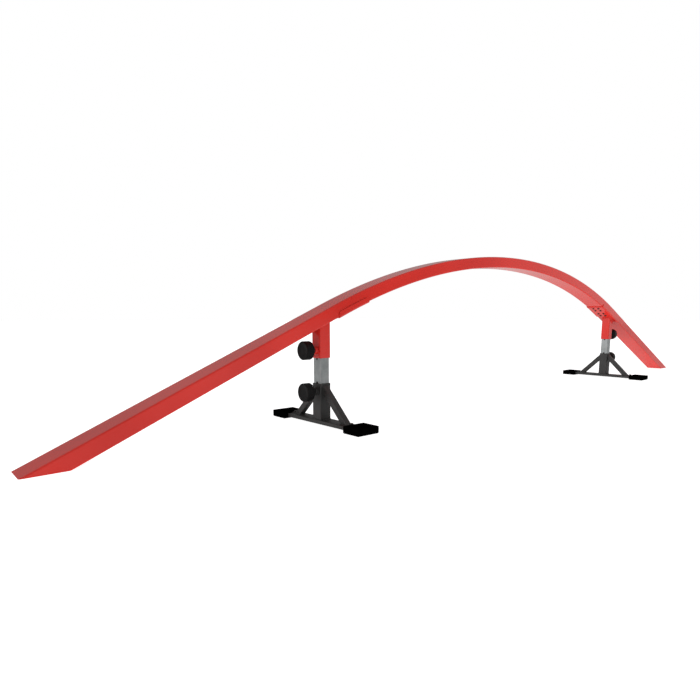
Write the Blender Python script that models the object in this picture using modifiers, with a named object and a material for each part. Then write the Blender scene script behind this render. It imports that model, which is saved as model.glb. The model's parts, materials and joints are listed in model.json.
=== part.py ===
"""Arched grind rail on two telescoping legs, in metres, +Z up.

The origin is on the ground under the middle of the arch. X runs along the rail,
Y across it. Side a is at -X and side b, its mirror image, at +X.
"""
import bpy
import bmesh
import math
from mathutils import Matrix, Vector

# Rail: a straight ramp at each end, tangent to a circular arch in the middle
rampRun = 0.8821            # level distance from the arch's end to where the top face meets the ground
rampAngle = math.radians(23.3)
archRadius = 2.4975         # of the top face
railWidth = 0.084
railDepth = 0.042
railWall = 0.003
railCorner = 0.004
endPlateThickness = 0.003
endPlateGap = 0.0008        # clears the tube's inner corners
archSteps = 36
rampStepLength = 0.30
pathEndStep = 0.004

# Splices between the arch and the ramps
spliceInset = 0.063         # seam to tangent point, measured inwards along the rail
seamGap = 0.0003
channelLength = 0.135
channelWall = 0.003
channelRise = 0.016         # how far the flanges reach up the rail's sides
channelChamfer = 0.007
spigotLength = 0.230
spigotWall = 0.004
boltRowFromSeam = 0.022
boltRowSpacing = 0.028
boltHalfSpread = 0.0135
boltShank = 0.006
boltHead = 0.0110
boltHeadHeight = 0.0033
boltSocket = 0.0046         # across corners
boltTipPast = 0.002         # past the spigot wall
spigotCorner = 0.002

# Legs
legPastArch = 0.0291        # leg's middle beyond the arch's end
postSize = 0.035
postWall = 0.0025
postCorner = 0.0020
postClearance = 0.0005      # around the post, inside the sleeve and the base tube
tubeWall = 0.003            # sleeve and base tube
tubeCorner = 0.004
sleeveLength = 0.1086       # at the leg's middle
postBelowRail = 0.0270      # top of the post to the rail's underside
postBottom = 0.0530
baseTubeTop = 0.1330
holeRadius = 0.0042
holePitch = 0.0760

# Clamping knobs
knobFromEdge = 0.0250       # knob axis to the end of the tube it is on
nutRadius = 0.012
nutLength = 0.010
nutEdge = 0.001
screwRadius = 0.005
screwEdge = 0.0012
screwClearance = 0.0004     # around the screw, in the tube wall and the nut
screwTipGap = 0.0003        # screw tip to post
screwPastNut = 0.018        # length that the knob is moulded on
knobRadius = 0.029
knobHubRadius = 0.013
knobHeadLength = 0.026
knobTaperLength = 0.0145
knobRim = 0.0035            # radius of the rim's rounding
knobDish = 0.0020           # how far the middle of the face is sunk
knobBackEdge = 0.0020       # chamfer where the taper meets the head
knobHubEdge = 0.0010
knobGap = 0.0015            # knob to nut

# Base
barWidth = 0.050
barThickness = 0.012
footLength = 0.083          # along X
footWidth = 0.068           # along Y
footFloor = 0.0045          # rubber under the bar
footRoof = 0.0054           # rubber over the bar
footEndWall = 0.0105        # rubber past the bar's end
footTabGap = 0.0020         # foot to the brace's tab
edgeRound = 0.0015          # bar and feet
braceSize = 0.021
braceWall = 0.002
braceBelowTop = 0.0056      # outer face of the brace at the tube to the tube's top
braceReach = 0.1140         # outer face of the brace at the bar to the tube
braceTab = 0.003            # thickness
boltPastBrace = 0.0090      # bolt's axis beyond the brace's outer face
tabPastBolt = 0.0065
hexHeadHeight = 0.004
hexHeadCorners = 0.0115     # across corners

gap = 0.0003                # between pieces that touch
overrun = 0.010             # how far a cutter passes the face that it cuts
roundSteps = 32
smallSteps = 12

# Worked out from the above
slope = math.tan(rampAngle)
halfLength = archRadius * math.sin(rampAngle) + rampRun
centreRadius = archRadius - railDepth / 2
archHalf = centreRadius * rampAngle
archCentreZ = rampRun * slope - archRadius * math.cos(rampAngle)
seamS = archHalf - spliceInset
tipS = archHalf + (halfLength - railDepth / 2 * math.sin(rampAngle)
                   - centreRadius * math.sin(rampAngle)) / math.cos(rampAngle)
groundedX = halfLength - railDepth / math.sin(rampAngle)
legX = halfLength - rampRun + legPastArch
tubeSize = postSize + 2 * (postClearance + tubeWall)
sleeveTop = (halfLength - legX) * slope - railDepth / math.cos(rampAngle)
sleeveBottom = sleeveTop - sleeveLength
postTop = sleeveTop - postBelowRail
barBottom = footFloor + gap
barTop = barBottom + barThickness
braceTop = baseTubeTop - braceBelowTop
braceFoot = tubeSize / 2 + braceReach
braceBoltY = braceFoot + boltPastBrace
braceTabEnd = braceBoltY + tabPastBolt
footInner = braceTabEnd + footTabGap
footCentre = footInner + footWidth / 2
footHeight = barTop + gap + footRoof
barEnd = footInner + footWidth - footEndWall
sides = {"a": -1, "b": 1}


def clearScene():
    for thing in list(bpy.data.objects):
        bpy.data.objects.remove(thing)


def newCollection(name):
    collection = bpy.data.collections.new(name)
    bpy.context.scene.collection.children.link(collection)
    return collection


def paint(name, colour, roughness, metallic=0.0):
    material = bpy.data.materials.new(name)
    material.use_nodes = True
    shader = material.node_tree.nodes["Principled BSDF"]
    shader.inputs["Base Color"].default_value = (*colour, 1.0)
    shader.inputs["Roughness"].default_value = roughness
    shader.inputs["Metallic"].default_value = metallic
    return material


clearScene()
pieces = newCollection("arched_rail")
cutters = newCollection("cutters")
materials = {
    "red_paint": paint("red_paint", (0.56, 0.025, 0.020), 0.12),
    "zinc_steel": paint("zinc_steel", (0.55, 0.57, 0.57), 0.34, 1.0),
    "black_steel": paint("black_steel", (0.045, 0.045, 0.044), 0.45),
    "black_plastic": paint("black_plastic", (0.020, 0.021, 0.020), 0.40),
    "black_rubber": paint("black_rubber", (0.010, 0.010, 0.010), 0.85),
    "black_bolt": paint("black_bolt", (0.030, 0.028, 0.028), 0.38, 1.0),
}


def railPoint(s, offset=0.0):
    """Place at arc length s from the apex, offset upwards from the centreline."""
    sign = math.copysign(1.0, s)
    onArc = min(abs(s), archHalf)
    angle = onArc / centreRadius
    straight = abs(s) - onArc
    x = (centreRadius + offset) * math.sin(angle) + straight * math.cos(angle)
    z = archCentreZ + (centreRadius + offset) * math.cos(angle) - straight * math.sin(angle)
    return Vector((sign * x, 0.0, z))


def railTilt(s):
    """Rotation that lays local Z along the rail's upward normal at arc length s."""
    angle = math.copysign(min(abs(s), archHalf) / centreRadius, s)
    return Matrix.Rotation(angle, 4, "Y")


def addObject(name, mesh, material=None, collection=None):
    thing = bpy.data.objects.new(name, mesh)
    (collection or pieces).objects.link(thing)
    if material:
        thing.data.materials.clear()
        thing.data.materials.append(materials[material])
    return thing


def addCutter(name, mesh):
    thing = addObject(name, mesh, collection=cutters)
    thing.hide_render = True
    thing.display_type = "WIRE"
    return thing


def toMesh(curveObject, name, weld=0.00002):
    """Turns a curve object into a mesh with its caps welded."""
    graph = bpy.context.evaluated_depsgraph_get()
    graph.update()
    mesh = bpy.data.meshes.new_from_object(curveObject.evaluated_get(graph))
    mesh.name = name
    mesh.transform(curveObject.matrix_world)
    curve = curveObject.data
    bpy.data.objects.remove(curveObject)
    bpy.data.curves.remove(curve)
    work = bmesh.new()
    work.from_mesh(mesh)
    bmesh.ops.remove_doubles(work, verts=work.verts, dist=weld)
    bmesh.ops.recalc_face_normals(work, faces=work.faces)
    work.to_mesh(mesh)
    work.free()
    mesh.materials.clear()
    return mesh


def roundedRectangle(width, height, radius, steps=3):
    """Outline of a rectangle with round corners, centred on the origin."""
    points = []
    for quarter in range(4):
        cornerX = (width / 2 - radius) * (1, -1, -1, 1)[quarter]
        cornerY = (height / 2 - radius) * (1, 1, -1, -1)[quarter]
        for step in range(steps + 1):
            turn = math.pi / 2 * (quarter + step / steps)
            points.append((cornerX + radius * math.cos(turn), cornerY + radius * math.sin(turn)))
    return points


def addSpline(curve, points, cyclic=True):
    spline = curve.splines.new("POLY")
    spline.points.add(len(points) - 1)
    for point, place in zip(spline.points, points):
        point.co = (*place, *([0.0] * (3 - len(place))), 1.0)
    spline.use_cyclic_u = cyclic
    return spline


def extruded(name, outlines, thickness, placing):
    """Flat outlines, the later ones holes, made into a plate of even thickness."""
    curve = bpy.data.curves.new(name, "CURVE")
    curve.dimensions = "2D"
    curve.fill_mode = "BOTH"
    curve.extrude = thickness / 2
    for outline in outlines:
        addSpline(curve, outline)
    thing = bpy.data.objects.new(name, curve)
    pieces.objects.link(thing)
    thing.matrix_world = placing
    bpy.context.view_layer.update()
    return toMesh(thing, name)


def swept(name, profile, startS, endS, capped):
    """A closed profile (across, up) carried along the rail's centreline."""
    shape = bpy.data.curves.new(name + "_profile", "CURVE")
    shape.dimensions = "2D"
    addSpline(shape, profile)
    shapeObject = bpy.data.objects.new(name + "_profile", shape)
    cutters.objects.link(shapeObject)
    path = bpy.data.curves.new(name, "CURVE")
    path.dimensions = "3D"
    path.twist_mode = "Z_UP"
    path.bevel_mode = "OBJECT"
    path.bevel_object = shapeObject
    path.use_fill_caps = capped
    addSpline(path, [tuple(railPoint(s)) for s in pathSteps(startS, endS)], cyclic=False)
    thing = bpy.data.objects.new(name, path)
    pieces.objects.link(thing)
    mesh = toMesh(thing, name)
    bpy.data.objects.remove(shapeObject)
    bpy.data.curves.remove(shape)
    return mesh


def pathSteps(startS, endS):
    """Arc lengths from start to end: even steps on the arch, longer ones on a ramp.

    A short step at each end keeps the end face square to the rail.
    """
    low, high = sorted((startS, endS))
    stops = [low, low + pathEndStep, high - pathEndStep, high]
    archStep = 2 * seamS / archSteps
    inner = max(low, -archHalf)
    outer = min(high, archHalf)
    count = max(1, round((outer - inner) / archStep))
    stops += [inner + (outer - inner) * step / count for step in range(count + 1)]
    for sign in (-1, 1):
        rampEnd = max(sign * startS, sign * endS)
        count = max(0, math.ceil((rampEnd - archHalf) / rampStepLength))
        stops += [sign * (archHalf + (rampEnd - archHalf) * step / count) for step in range(1, count)]
    kept = [low]
    for stop in sorted(stops):
        if kept[-1] + pathEndStep / 2 < stop <= high:
            kept.append(stop)
    kept[-1] = high
    return kept


def cylinderMesh(name, radius, length, steps, placing):
    """Cylinder from local z = 0 to z = length."""
    work = bmesh.new()
    bmesh.ops.create_cone(work, cap_ends=True, segments=steps, radius1=radius, radius2=radius, depth=length)
    bmesh.ops.translate(work, verts=work.verts, vec=(0, 0, length / 2))
    bmesh.ops.transform(work, matrix=placing, verts=work.verts)
    mesh = bpy.data.meshes.new(name)
    work.to_mesh(mesh)
    work.free()
    return mesh


def boxMesh(name, size, placing):
    work = bmesh.new()
    bmesh.ops.create_cube(work, size=1.0)
    bmesh.ops.scale(work, vec=size, verts=work.verts)
    bmesh.ops.transform(work, matrix=placing, verts=work.verts)
    mesh = bpy.data.meshes.new(name)
    work.to_mesh(mesh)
    work.free()
    return mesh


def combine(thing, cutterMesh, operation="DIFFERENCE"):
    cutter = addCutter(cutterMesh.name, cutterMesh)
    modifier = thing.modifiers.new(cutterMesh.name, "BOOLEAN")
    modifier.operation = operation
    modifier.solver = "EXACT"
    modifier.object = cutter


def roundEdges(thing, width, segments=2, angle=40):
    modifier = thing.modifiers.new("rounded_edges", "BEVEL")
    modifier.width = width
    modifier.segments = segments
    modifier.limit_method = "ANGLE"
    modifier.angle_limit = math.radians(angle)


def smooth(thing, angle=35):
    thing.data.shade_smooth()
    thing.data.set_sharp_from_angle(angle=math.radians(angle))


def turned(name, profile, steps, placing, material, ring=False):
    """Profile of (radius, height) from top to bottom, turned about local Z."""
    mesh = bpy.data.meshes.new(name)
    points = [(radius, 0.0, height) for radius, height in profile]
    edges = [(index, index + 1) for index in range(len(points) - 1)]
    if ring:
        edges.append((len(points) - 1, 0))
    mesh.from_pydata(points, edges, [])
    thing = addObject(name, mesh, material)
    screw = thing.modifiers.new("turned", "SCREW")
    screw.axis = "Z"
    screw.steps = steps
    screw.render_steps = steps
    screw.use_merge_vertices = True
    screw.merge_threshold = 0.00001
    screw.use_smooth_shade = True
    thing.matrix_world = placing
    return thing


# Rail tubes, end plates and splices

def railTube(name, startS, endS):
    outside = roundedRectangle(railWidth, railDepth, railCorner)
    inside = roundedRectangle(railWidth - 2 * railWall, railDepth - 2 * railWall, railCorner - railWall, 1)
    thing = addObject(name, swept(name, outside, startS, endS, True), "red_paint")
    combine(thing, swept(name + "_hollow", inside, startS - overrun, endS + overrun, True))
    return thing


def groundCutter(name, sign):
    depth = 2 * railDepth
    length = halfLength - groundedX + 2 * depth
    placing = Matrix.Translation((sign * (halfLength + groundedX) / 2, 0.0, -depth / 2))
    return boxMesh(name, (length, 2 * railWidth, depth), placing)


def boltPlaces(sign):
    """Arc length and across-rail place of each splice bolt."""
    places = []
    for row in (-1, 1):
        for step in (0, 1):
            for across in (-1, 1):
                along = row * (boltRowFromSeam + step * boltRowSpacing)
                places.append((sign * (seamS + along), across * boltHalfSpread))
    return places


def boltPlacing(s, across):
    """Frame at the channel's outer face, local Z pointing out of it, downwards."""
    place = railPoint(s, -railDepth / 2 - channelWall - gap)
    place.y = across
    return Matrix.Translation(place) @ railTilt(s) @ Matrix.Rotation(math.pi, 4, "X")


def drillForBolts(thing, sign, radius):
    for index, (s, across) in enumerate(boltPlaces(sign)):
        depth = channelWall + 2 * gap + railWall + spigotWall + gap
        placing = boltPlacing(s, across) @ Matrix.Translation((0, 0, -depth - gap))
        bore = cylinderMesh(f"{thing.name}_bore_{index + 1}", radius, 2 * depth, smallSteps, placing)
        combine(thing, bore)


def makeRamp(side, sign):
    name = f"ramp_rail_{side}"
    seam = sign * (seamS + seamGap / 2)
    low, high = sorted((seam, sign * (tipS + overrun)))
    ramp = railTube(name, low, high)
    combine(ramp, groundCutter(name + "_ground", sign))
    outer = [place for place in boltPlaces(sign) if abs(place[0]) > seamS]
    for index, (s, across) in enumerate(outer):
        placing = boltPlacing(s, across) @ Matrix.Translation((0, 0, -railDepth / 2))
        combine(ramp, cylinderMesh(f"{name}_bore_{index + 1}", boltShank / 2 + gap, railDepth,
                                   smallSteps, placing))
    smooth(ramp)


def makeEndPlate(side, sign):
    """Plate that closes the horizontal cut at the foot of a ramp."""
    inset = (railWall + endPlateGap) / math.sin(rampAngle)
    lean = endPlateThickness / slope
    low = groundedX + inset
    high = halfLength - inset
    outline = [(low, 0.0), (high, 0.0), (high - lean, endPlateThickness), (low - lean, endPlateThickness)]
    outline = [(sign * x, z) for x, z in outline]
    upright = Matrix.Rotation(math.pi / 2, 4, "X")
    width = railWidth - 2 * railWall - 2 * endPlateGap
    mesh = extruded(f"ramp_end_plate_{side}", [outline], width, upright)
    addObject(f"ramp_end_plate_{side}", mesh, "red_paint")


def makeChannel(side, sign):
    name = f"splice_channel_{side}"
    inner = railWidth / 2 + gap
    outer = inner + channelWall
    web = -railDepth / 2 - gap
    top = web + gap + channelRise
    profile = [(-outer, top), (-outer, web - channelWall), (outer, web - channelWall), (outer, top),
               (inner, top), (inner, web), (-inner, web), (-inner, top)]
    ends = sorted((sign * (seamS - channelLength / 2), sign * (seamS + channelLength / 2)))
    channel = addObject(name, swept(name, profile, *ends, True), "red_paint")
    size = 3 * channelChamfer
    depth = channelChamfer / math.sqrt(2)
    for direction, end in zip((-1, 1), ends):
        placing = Matrix.Translation(railPoint(end, top)) @ railTilt(end)
        placing = placing @ Matrix.Rotation(direction * math.pi / 4, 4, "Y")
        placing = placing @ Matrix.Translation((0, 0, size / 2 - depth))
        which = "low" if abs(end) > seamS else "high"
        combine(channel, boxMesh(f"{name}_chamfer_{which}", (size, 2 * railWidth, size), placing))
    drillForBolts(channel, sign, boltShank / 2 + gap)


def makeSpigot(side, sign):
    name = f"splice_spigot_{side}"
    width = railWidth - 2 * railWall - 2 * gap
    height = railDepth - 2 * railWall - 2 * gap
    ends = sorted((sign * (seamS - spigotLength / 2), sign * (seamS + spigotLength / 2)))
    outside = roundedRectangle(width, height, spigotCorner, 2)
    spigot = addObject(name, swept(name, outside, *ends, True), "zinc_steel")
    inside = roundedRectangle(width - 2 * spigotWall, height - 2 * spigotWall, spigotCorner / 2, 1)
    combine(spigot, swept(name + "_hollow", inside, ends[0] - overrun, ends[1] + overrun, True))
    for index, (s, across) in enumerate(boltPlaces(sign)):
        placing = boltPlacing(s, across) @ Matrix.Translation((0, 0, -railDepth / 2))
        combine(spigot, cylinderMesh(f"{name}_bore_{index + 1}", boltShank / 2 + gap, railDepth / 2,
                                     smallSteps, placing))


def makeSpliceBolt(name, s, across):
    """Button-head screw: turned head and shank with a hexagon socket."""
    head = boltHead / 2
    shank = boltShank / 2
    reach = channelWall + gap + railWall + gap + spigotWall + boltTipPast
    profile = [(0.0, gap + boltHeadHeight), (head * 0.45, gap + boltHeadHeight)]
    for step in range(1, 4):
        turn = math.pi / 2 * step / 3
        profile.append((head * (0.45 + 0.55 * math.sin(turn)), gap + boltHeadHeight * math.cos(turn)))
    profile[-1] = (head, gap)
    profile += [(shank, gap), (shank, -reach), (0.0, -reach)]
    bolt = turned(name, profile, smallSteps, boltPlacing(s, across), "black_bolt")
    socketDepth = boltHeadHeight * 0.6
    placing = boltPlacing(s, across) @ Matrix.Translation((0, 0, gap + boltHeadHeight - socketDepth))
    combine(bolt, cylinderMesh(name + "_socket", boltSocket / 2, boltHeadHeight, 6, placing))


# Legs

def squareTube(name, size, wall, corner, bottom, top, x, material):
    outside = roundedRectangle(size, size, corner)
    inside = roundedRectangle(size - 2 * wall, size - 2 * wall, max(corner - wall, 0.0008), 1)
    placing = Matrix.Translation((x, 0.0, (bottom + top) / 2))
    return addObject(name, extruded(name, [outside, inside], top - bottom, placing), material)


def outward(sign, x, z):
    """Frame at a place on the leg's outward side, local Z pointing away from the leg."""
    return Matrix.Translation((sign * x, 0.0, z)) @ Matrix.Rotation(sign * math.pi / 2, 4, "Y")


def drillForScrew(thing, sign, z):
    start = legX + postSize / 2
    placing = outward(sign, start, z)
    combine(thing, cylinderMesh(thing.name + "_screw_bore", screwRadius + screwClearance, tubeSize / 2,
                                smallSteps, placing))


def makeSleeve(side, sign):
    name = f"leg_sleeve_{side}"
    sleeve = squareTube(name, tubeSize, tubeWall, tubeCorner, sleeveBottom, sleeveTop + tubeSize,
                        sign * legX, "red_paint")
    size = 4 * tubeSize
    under = Vector((sign * legX, 0.0, sleeveTop))
    tilt = Matrix.Rotation(sign * rampAngle, 4, "Y")
    placing = Matrix.Translation(under) @ tilt @ Matrix.Translation((0, 0, size / 2 - gap))
    combine(sleeve, boxMesh(name + "_mitre", (size, size, size), placing))
    drillForScrew(sleeve, sign, sleeveBottom + knobFromEdge)
    smooth(sleeve)


def makePost(side, sign):
    name = f"leg_post_{side}"
    post = squareTube(name, postSize, postWall, postCorner, postBottom, postTop,
                      sign * legX, "zinc_steel")
    middle = (sleeveBottom + baseTubeTop) / 2
    through = 2 * postSize
    for index, step in enumerate((-1.5, -0.5, 0.5, 1.5)):
        placing = outward(sign, legX - postSize, middle + step * holePitch)
        combine(post, cylinderMesh(f"{name}_hole_{index + 1}", holeRadius, through, smallSteps, placing))
    smooth(post)


def makeNut(name, sign, z, material):
    """Threaded boss welded to the tube, as a turned ring."""
    bore = screwRadius + screwClearance
    profile = [(bore, nutLength), (nutRadius - nutEdge, nutLength), (nutRadius, nutLength - nutEdge),
               (nutRadius, 0.0), (bore, 0.0)]
    placing = outward(sign, legX + tubeSize / 2 + gap, z)
    turned(name, profile, roundSteps, placing, material, ring=True)


def makeKnob(place, side, sign, z):
    """Knob and the screw it is moulded on, both on the screw's axis."""
    start = legX + tubeSize / 2 + gap + nutLength
    tip = legX + postSize / 2 + screwTipGap
    placing = outward(sign, start, z)
    narrow = screwRadius - screwEdge
    screwProfile = [(0.0, screwPastNut), (narrow, screwPastNut), (screwRadius, screwPastNut - screwEdge),
                    (screwRadius, tip - start + screwEdge), (narrow, tip - start), (0.0, tip - start)]
    turned(f"{place}_screw_{side}", screwProfile, smallSteps, placing, "zinc_steel")
    bore = screwRadius + gap
    face = knobGap + knobTaperLength + knobHeadLength
    taperEnd = knobGap + knobTaperLength
    profile = [(0.0, face - knobDish), (knobRadius * 0.55, face - knobDish),
               (knobRadius - 2.2 * knobRim, face)]
    for step in range(5):
        turn = math.pi / 2 * step / 4
        profile.append((knobRadius - knobRim + knobRim * math.sin(turn),
                        face - knobRim + knobRim * math.cos(turn)))
    profile += [(knobRadius, taperEnd + knobBackEdge), (knobRadius - knobBackEdge, taperEnd),
                (knobHubRadius, knobGap + knobHubEdge), (knobHubRadius - knobHubEdge, knobGap),
                (bore, knobGap), (bore, screwPastNut + gap), (0.0, screwPastNut + gap)]
    turned(f"{place}_knob_{side}", profile, roundSteps, placing, "black_plastic")


# Bases

def makeBase(side, sign):
    name = f"base_tube_{side}"
    tube = squareTube(name, tubeSize, tubeWall, tubeCorner, barTop + gap, baseTubeTop,
                      sign * legX, "black_steel")
    drillForScrew(tube, sign, baseTubeTop - knobFromEdge)
    smooth(tube)
    placing = Matrix.Translation((sign * legX, 0.0, barBottom + barThickness / 2))
    block = boxMesh("bar", (barWidth, 2 * barEnd, barThickness), placing)
    bar = addObject(f"base_bar_{side}", block, "black_steel")
    roundEdges(bar, edgeRound)
    for end, label in ((-1, "front"), (1, "rear")):
        bore = Matrix.Translation((sign * legX, end * braceBoltY, 0.0))
        combine(bar, cylinderMesh(f"bar_{side}_{label}_bore", boltShank / 2 + gap, 2 * barTop,
                                  smallSteps, bore))


def braceOutline(inset, over):
    """Side view (y, z) of a brace, cut upright at the tube and level at the bar.

    Inset moves its slanting faces inwards, and over carries it past both cuts.
    """
    topY = tubeSize / 2 + gap
    rise = braceTop - barTop - gap
    run = braceFoot - topY
    length = math.hypot(run, rise)
    across = braceSize - 2 * inset
    # step across the brace, measured along the upright cut and along the level cut
    drop = braceSize * length / run
    shift = braceSize * length / rise
    insetDrop = inset * length / run
    insetShift = inset * length / rise
    lean = rise / run
    bottom = barTop + gap
    if not over:
        return [(topY, braceTop), (braceFoot, bottom), (braceFoot - shift, bottom), (topY, braceTop - drop)]
    return [(topY - over, braceTop - insetDrop + over * lean),
            (braceFoot - insetShift + over / lean, bottom - over),
            (braceFoot - insetShift + over / lean - across * length / rise, bottom - over),
            (topY - over, braceTop - insetDrop + over * lean - across * length / run)]


def makeBrace(side, sign, end, label):
    """Square tube brace, mitred at both ends, with a bolted tab at its foot."""
    name = f"base_brace_{side}_{label}"
    sideways = Matrix(((0, 0, 1, 0), (1, 0, 0, 0), (0, 1, 0, 0), (0, 0, 0, 1)))
    upright = Matrix.Translation((sign * legX, 0, 0)) @ sideways
    mirrored = [(end * y, z) for y, z in braceOutline(0.0, 0.0)]
    brace = addObject(name, extruded(name, [mirrored], braceSize, upright), "black_steel")
    hollow = [(end * y, z) for y, z in braceOutline(braceWall, overrun)]
    combine(brace, extruded(name + "_hollow", [hollow], braceSize - 2 * braceWall, upright))
    bottom = barTop + gap
    tabStart = braceFoot - 2 * braceWall
    tabLength = braceTabEnd - tabStart
    placing = Matrix.Translation((sign * legX, end * (tabStart + tabLength / 2), bottom + braceTab / 2))
    combine(brace, boxMesh(name + "_tab", (braceSize, tabLength, braceTab), placing), "UNION")
    bore = Matrix.Translation((sign * legX, end * braceBoltY, 0.0))
    combine(brace, cylinderMesh(name + "_bore", boltShank / 2 + gap, 2 * barTop + braceTab, smallSteps, bore))


def makeBraceBolt(side, sign, end, label):
    """Hexagon bolt that holds a brace's tab to the bar."""
    name = f"base_bolt_{side}_{label}"
    seat = barTop + gap + braceTab + gap
    reach = barThickness + braceTab + gap
    place = (sign * legX, end * braceBoltY, seat)
    shank = cylinderMesh(name, boltShank / 2, reach + hexHeadHeight / 2, smallSteps,
                         Matrix.Translation(place) @ Matrix.Translation((0, 0, -reach)))
    bolt = addObject(name, shank, "black_bolt")
    head = cylinderMesh(name + "_head", hexHeadCorners / 2, hexHeadHeight, 6, Matrix.Translation(place))
    combine(bolt, head, "UNION")


def makeFoot(side, sign, end, label):
    """Rubber block moulded around the end of the bar."""
    name = f"foot_{side}_{label}"
    placing = Matrix.Translation((sign * legX, end * footCentre, footHeight / 2))
    foot = addObject(name, boxMesh(name, (footLength, footWidth, footHeight), placing), "black_rubber")
    roundEdges(foot, edgeRound)
    pocketEnd = barEnd + gap
    reach = pocketEnd - footInner + overrun
    pocket = Matrix.Translation((sign * legX, end * (pocketEnd - reach / 2), barBottom + barThickness / 2))
    combine(foot, boxMesh(name + "_pocket", (barWidth + 2 * gap, reach, barThickness + 2 * gap), pocket))


railTube("arch_rail", -seamS + seamGap / 2, seamS - seamGap / 2)
arch = pieces.objects["arch_rail"]
for side, sign in sides.items():
    makeRamp(side, sign)
    makeEndPlate(side, sign)
    makeChannel(side, sign)
    makeSpigot(side, sign)
    for index, (s, across) in enumerate(boltPlaces(sign)):
        makeSpliceBolt(f"splice_bolt_{side}_{index + 1}", s, across)
        if abs(s) < seamS:
            placing = boltPlacing(s, across) @ Matrix.Translation((0, 0, -railDepth / 2))
            combine(arch, cylinderMesh(f"arch_bore_{side}_{index + 1}", boltShank / 2 + gap, railDepth,
                                       smallSteps, placing))
    makeSleeve(side, sign)
    makePost(side, sign)
    makeNut(f"sleeve_nut_{side}", sign, sleeveBottom + knobFromEdge, "red_paint")
    makeNut(f"base_nut_{side}", sign, baseTubeTop - knobFromEdge, "black_steel")
    makeKnob("sleeve", side, sign, sleeveBottom + knobFromEdge)
    makeKnob("base", side, sign, baseTubeTop - knobFromEdge)
    makeBase(side, sign)
    for end, label in ((-1, "front"), (1, "rear")):
        makeBrace(side, sign, end, label)
        makeBraceBolt(side, sign, end, label)
        makeFoot(side, sign, end, label)
smooth(arch)
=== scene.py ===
import bmesh
import bpy
import json
import math
from mathutils import Matrix, Vector

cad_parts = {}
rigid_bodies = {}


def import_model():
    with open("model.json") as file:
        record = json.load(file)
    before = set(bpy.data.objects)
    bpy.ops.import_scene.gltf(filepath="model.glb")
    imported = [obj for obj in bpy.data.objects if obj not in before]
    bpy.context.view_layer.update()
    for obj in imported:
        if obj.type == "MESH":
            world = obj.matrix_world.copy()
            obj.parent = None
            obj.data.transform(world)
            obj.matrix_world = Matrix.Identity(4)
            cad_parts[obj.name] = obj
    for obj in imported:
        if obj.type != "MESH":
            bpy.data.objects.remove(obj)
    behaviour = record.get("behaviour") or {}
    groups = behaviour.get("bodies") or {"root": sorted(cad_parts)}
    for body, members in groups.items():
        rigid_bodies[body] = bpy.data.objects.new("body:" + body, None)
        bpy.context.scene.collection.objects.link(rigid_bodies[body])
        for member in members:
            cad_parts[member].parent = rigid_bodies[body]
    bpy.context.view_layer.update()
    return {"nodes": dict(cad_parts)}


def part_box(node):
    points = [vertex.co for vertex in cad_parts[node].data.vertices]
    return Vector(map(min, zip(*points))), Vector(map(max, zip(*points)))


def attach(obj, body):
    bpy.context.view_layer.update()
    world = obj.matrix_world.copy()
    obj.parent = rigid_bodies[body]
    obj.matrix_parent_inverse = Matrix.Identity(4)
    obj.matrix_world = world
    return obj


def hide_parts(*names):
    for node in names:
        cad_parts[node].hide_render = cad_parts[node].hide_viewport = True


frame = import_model()
print("frame loaded:", len(frame["nodes"]), "nodes")

sides = {"a": -1, "b": 1}
ends = {"front": -1, "rear": 1}
gap = 0.0003  # between neighbouring pieces
sceneObjects = bpy.context.scene.collection.objects

# Node graphs, for finishes and for geometry


class Wire:  # a number from a node, which can be used in a Python sum
    def __init__(self, graph, socket):
        self.graph = graph
        self.socket = socket

    def __add__(self, other):
        return self.graph.maths("ADD", self, other)

    def __sub__(self, other):
        return self.graph.maths("SUBTRACT", self, other)

    def __rsub__(self, other):
        return self.graph.maths("SUBTRACT", other, self)

    def __mul__(self, other):
        return self.graph.maths("MULTIPLY", self, other)

    def __truediv__(self, other):
        return self.graph.maths("DIVIDE", self, other)

    __radd__ = __add__
    __rmul__ = __mul__


class Graph:
    def __init__(self, tree):
        self.tree = tree

    def node(self, kind, settings=None, values=None, output=0):  # settings go first
        made = self.tree.nodes.new(kind)
        for key, value in (settings or {}).items():
            setattr(made, key, value)
        for key, value in (values or {}).items():
            if isinstance(value, Wire):
                self.tree.links.new(value.socket, made.inputs[key])
            else:
                made.inputs[key].default_value = value
        return Wire(self, made.outputs[output])

    def maths(self, operation, first, second=0.0):
        return self.node("ShaderNodeMath", {"operation": operation}, {0: first, 1: second})

    def step(self, wire, low, high):  # 0 up to low, 1 from high, smooth between
        return self.node("ShaderNodeMapRange", {"interpolation_type": "SMOOTHSTEP"},
                         {"Value": wire, "From Min": low, "From Max": high})

    def place(self, x, y, z):
        return self.node("ShaderNodeCombineXYZ", values={"X": x, "Y": y, "Z": z})

    def parts(self, vector):
        split = self.node("ShaderNodeSeparateXYZ", values={"Vector": vector}).socket.node
        return [Wire(self, socket) for socket in split.outputs]


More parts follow.
